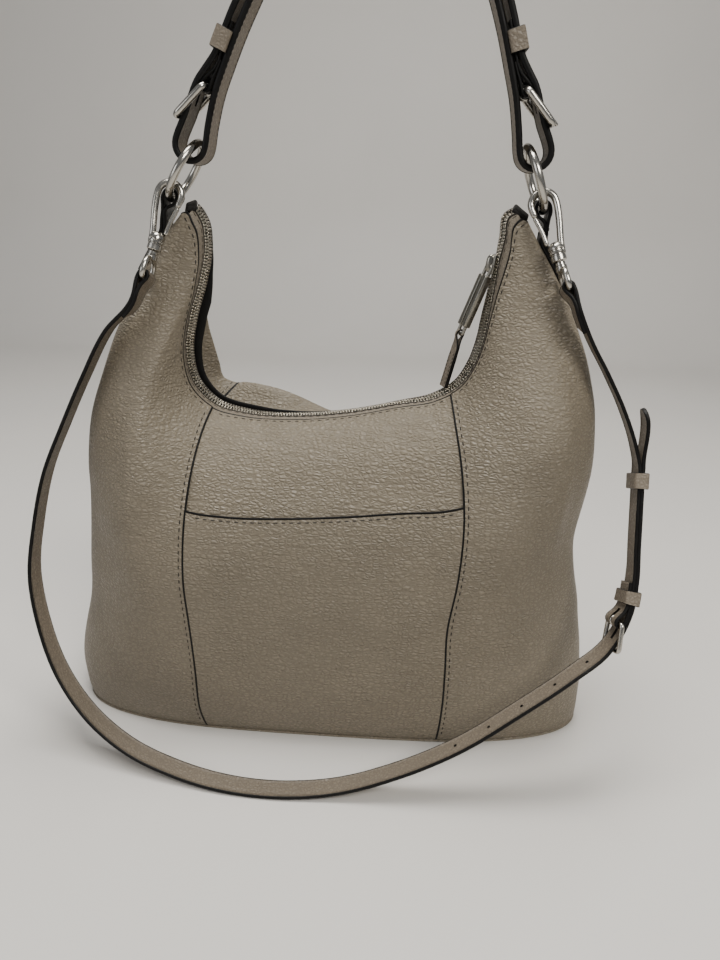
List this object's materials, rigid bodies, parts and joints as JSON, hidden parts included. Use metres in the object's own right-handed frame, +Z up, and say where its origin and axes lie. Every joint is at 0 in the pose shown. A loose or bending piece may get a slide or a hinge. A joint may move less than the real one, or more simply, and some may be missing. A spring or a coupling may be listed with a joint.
{
  "type": "hobo bag",
  "caption": "Soft pebbled leather hobo bag with a scooped zip opening, a buckled shoulder strap standing on side rings and a clip-on crossbody strap draped across its front.",
  "frame": {"origin": "centre of the base's underside", "axes": "+Z up, -Y the front of the bag, +X along the bag's width to the right seen from the front"},
  "size_m": [0.386, 0.1812, 0.5461],
  "materials": {
    "bag_leather": "pebbled full-grain leather, matt",
    "strap_leather": "pebbled leather with black painted edges",
    "tab_leather": "black painted leather tab",
    "polished_metal": "polished nickel plate",
    "zip_metal": "bright zip teeth",
    "zip_tape": "woven zip tape",
    "lining": "plain woven lining",
    "board": "stiffening board"
  },
  "bodies": {
    "bag": {"back_center_panel": "bag_leather", "back_left_panel": "bag_leather", "back_right_panel": "bag_leather", "base_panel": "bag_leather", "base_board": "board", "front_center_panel": "bag_leather", "front_left_panel": "bag_leather", "front_right_panel": "bag_leather", "front_slip_pocket": "bag_leather", "lining_back": "lining", "lining_front": "lining", "ring_left": "polished_metal", "ring_right": "polished_metal", "side_tab_left": "tab_leather", "side_tab_right": "tab_leather", "zip_tape_back": "zip_tape", "zip_tape_front": "zip_tape", "zip_teeth_back": "zip_metal", "zip_teeth_front": "zip_metal"},
    "handle": {"shoulder_strap": "strap_leather", "handle_buckle_left": "polished_metal", "handle_buckle_right": "polished_metal", "handle_chape_left": "strap_leather", "handle_chape_right": "strap_leather", "handle_keeper_left": "strap_leather", "handle_keeper_right": "strap_leather"},
    "handle_prong_left": {"handle_prong_left": "polished_metal"},
    "handle_prong_right": {"handle_prong_right": "polished_metal"},
    "crossbody": {"crossbody_long_strap": "strap_leather", "crossbody_short_strap": "strap_leather", "crossbody_buckle": "polished_metal", "crossbody_fixed_keeper": "strap_leather", "hook_swivel_eye_left": "polished_metal", "hook_swivel_eye_right": "polished_metal"},
    "crossbody_prong": {"crossbody_prong": "polished_metal"},
    "crossbody_sliding_keeper": {"crossbody_sliding_keeper": "strap_leather"},
    "hook_left": {"hook_left": "polished_metal"},
    "hook_right": {"hook_right": "polished_metal"},
    "hook_gate_left": {"hook_gate_left": "polished_metal"},
    "hook_gate_right": {"hook_gate_right": "polished_metal"},
    "zip_slider": {"zip_slider": "polished_metal"},
    "zip_pull": {"zip_pull": "polished_metal"},
    "zip_pull_tab": {"zip_pull_tab": "strap_leather"}
  },
  "joints": [
    {"name": "handle_swing", "type": "hinge", "parent": "bag", "child": "handle", "pos_m": [0, 0, 0.3644], "axis": [1, 0, 0], "range_deg": [-45, 40]},
    {"name": "crossbody_swing", "type": "hinge", "parent": "bag", "child": "crossbody", "pos_m": [0, -0.00996, 0.35757], "axis": [-1, 0, 0], "range_deg": [0, 45]},
    {"name": "handle_prong_left_pivot", "type": "hinge", "parent": "handle", "child": "handle_prong_left", "pos_m": [-0.07784, 0, 0.40876], "axis": [0, 1, 0], "range_deg": [0, 45]},
    {"name": "handle_prong_right_pivot", "type": "hinge", "parent": "handle", "child": "handle_prong_right", "pos_m": [0.10152, 0, 0.4091], "axis": [0, -1, 0], "range_deg": [0, 45]},
    {"name": "crossbody_prong_pivot", "type": "hinge", "parent": "crossbody", "child": "crossbody_prong", "pos_m": [0.17635, -0.07139, 0.11657], "axis": [0.1305, -0.9499, 0.2839], "range_deg": [0, 45]},
    {"name": "keeper_slide", "type": "slide", "parent": "crossbody", "child": "crossbody_sliding_keeper", "axis": [-0.0055, 0.3419, 0.9397], "range_m": [-0.03, 0]},
    {"name": "hook_left_swivel", "type": "hinge", "parent": "crossbody", "child": "hook_left", "pos_m": [-0.10914, -0.02104, 0.32265], "axis": [-0.2581, -0.2915, -0.9211], "range_deg": [-12, 12]},
    {"name": "hook_right_swivel", "type": "hinge", "parent": "crossbody", "child": "hook_right", "pos_m": [0.12648, -0.02102, 0.3233], "axis": [0.3241, -0.2911, -0.9001], "range_deg": [-12, 12]},
    {"name": "hook_left_gate", "type": "hinge", "parent": "hook_left", "child": "hook_gate_left", "pos_m": [-0.10273, -0.01847, 0.32959], "axis": [0.0787, -0.9566, 0.2807], "range_deg": [0, 22], "stiffness_Nm_per_rad": 0.02, "springref_deg": -11.46},
    {"name": "hook_right_gate", "type": "hinge", "parent": "hook_right", "child": "hook_gate_right", "pos_m": [0.11958, -0.01846, 0.32976], "axis": [0.0986, 0.9567, -0.2738], "range_deg": [0, 22], "stiffness_Nm_per_rad": 0.02, "springref_deg": -11.46},
    {"name": "slider_travel", "type": "slide", "parent": "bag", "child": "zip_slider", "axis": [0.1318, 0, 0.9913], "range_m": [0, 0.012]},
    {"name": "pull_swing", "type": "hinge", "parent": "zip_slider", "child": "zip_pull", "pos_m": [0.09018, 0, 0.31546], "axis": [0, 1, 0], "range_deg": [0, 100]},
    {"name": "pull_tab_swing", "type": "hinge", "parent": "zip_pull", "child": "zip_pull_tab", "pos_m": [0.0752, 0, 0.2742], "axis": [0, 1, 0], "range_deg": [0, 60]}
  ]
}
